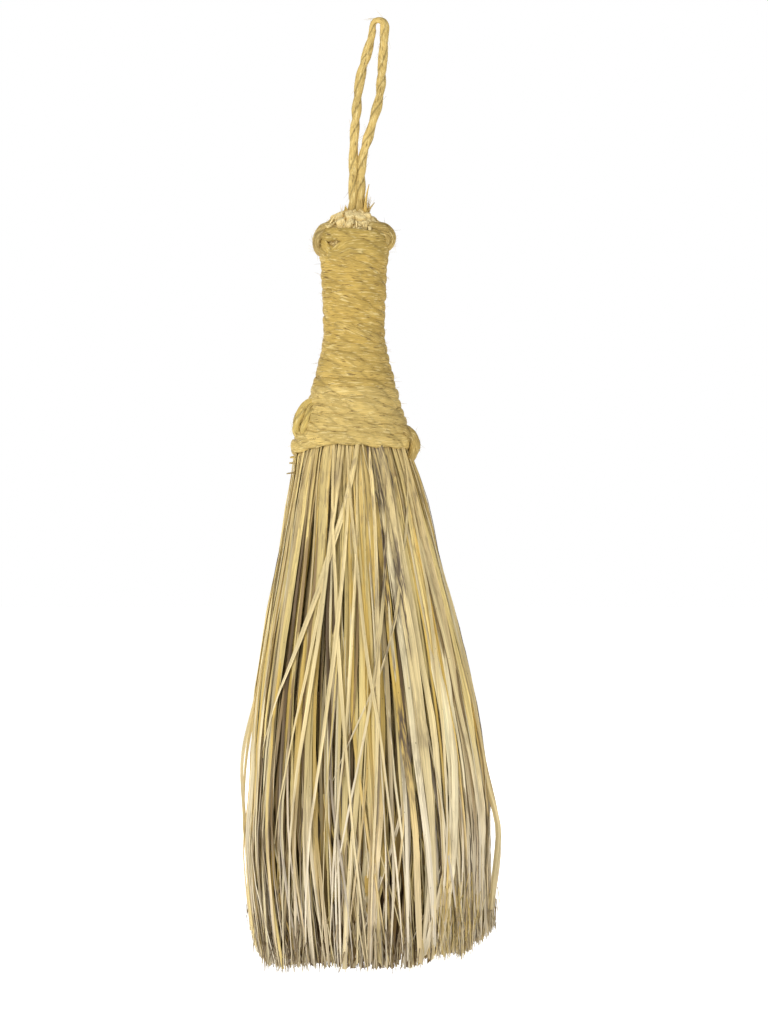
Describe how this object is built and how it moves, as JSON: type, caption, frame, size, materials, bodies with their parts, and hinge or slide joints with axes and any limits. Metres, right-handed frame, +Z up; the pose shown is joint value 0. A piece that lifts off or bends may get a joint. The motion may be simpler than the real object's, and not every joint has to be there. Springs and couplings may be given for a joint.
{
  "type": "hearth broom",
  "caption": "Hand-bound hearth broom of dried palm leaf, with a cord-wound handle, a flared leaf skirt and a twisted cord loop to hang it by.",
  "frame": {"origin": "where a peg touches the inside of the hanging loop's top", "axes": "+Z up along the handle, away from the skirt; X across the broom's wide face; -Y towards its front"},
  "size_m": [0.1196, 0.087, 0.4471],
  "materials": {
    "leaf": "dry split leaf, satin",
    "stalk": "dry cut stalk, matte",
    "cord": "two-ply twisted leaf fibre, matte",
    "tie": "thin fibre twine, matte"
  },
  "bodies": {
    "broom": {"leaf_hank_01": "leaf", "leaf_hank_02": "leaf", "leaf_hank_03": "leaf", "leaf_hank_04": "leaf", "leaf_hank_05": "leaf", "leaf_hank_06": "leaf", "leaf_hank_07": "leaf", "leaf_hank_08": "leaf", "leaf_hank_09": "leaf", "leaf_hank_10": "leaf", "leaf_hank_11": "leaf", "leaf_hank_12": "leaf", "leaf_hank_13": "leaf", "leaf_hank_14": "leaf", "leaf_hank_15": "leaf", "leaf_hank_16": "leaf", "palm_leaf_01": "stalk", "palm_leaf_02": "stalk", "palm_leaf_03": "stalk", "palm_leaf_04": "stalk", "palm_leaf_05": "stalk", "palm_leaf_06": "stalk", "palm_leaf_07": "stalk", "palm_leaf_08": "stalk", "palm_leaf_09": "stalk", "collar_binding": "cord", "upper_grip_binding": "cord", "lower_grip_binding": "cord", "shoulder_binding": "cord", "collar_knot_left": "cord", "collar_knot_right": "cord", "shoulder_knot_left": "cord", "shoulder_knot_right": "cord", "core_tie": "tie", "shoulder_tie": "tie", "loop_tail_left": "cord", "loop_tail_right": "cord", "loop_stop_knot": "cord"},
    "loop": {"hanging_loop": "cord"}
  },
  "joints": [
    {"name": "loop_fold", "type": "hinge", "parent": "broom", "child": "loop", "pos_m": [-0.0102, 0, -0.0846], "axis": [1, 0, 0], "range_deg": [-85, 85], "stiffness_Nm_per_rad": 0.02}
  ]
}
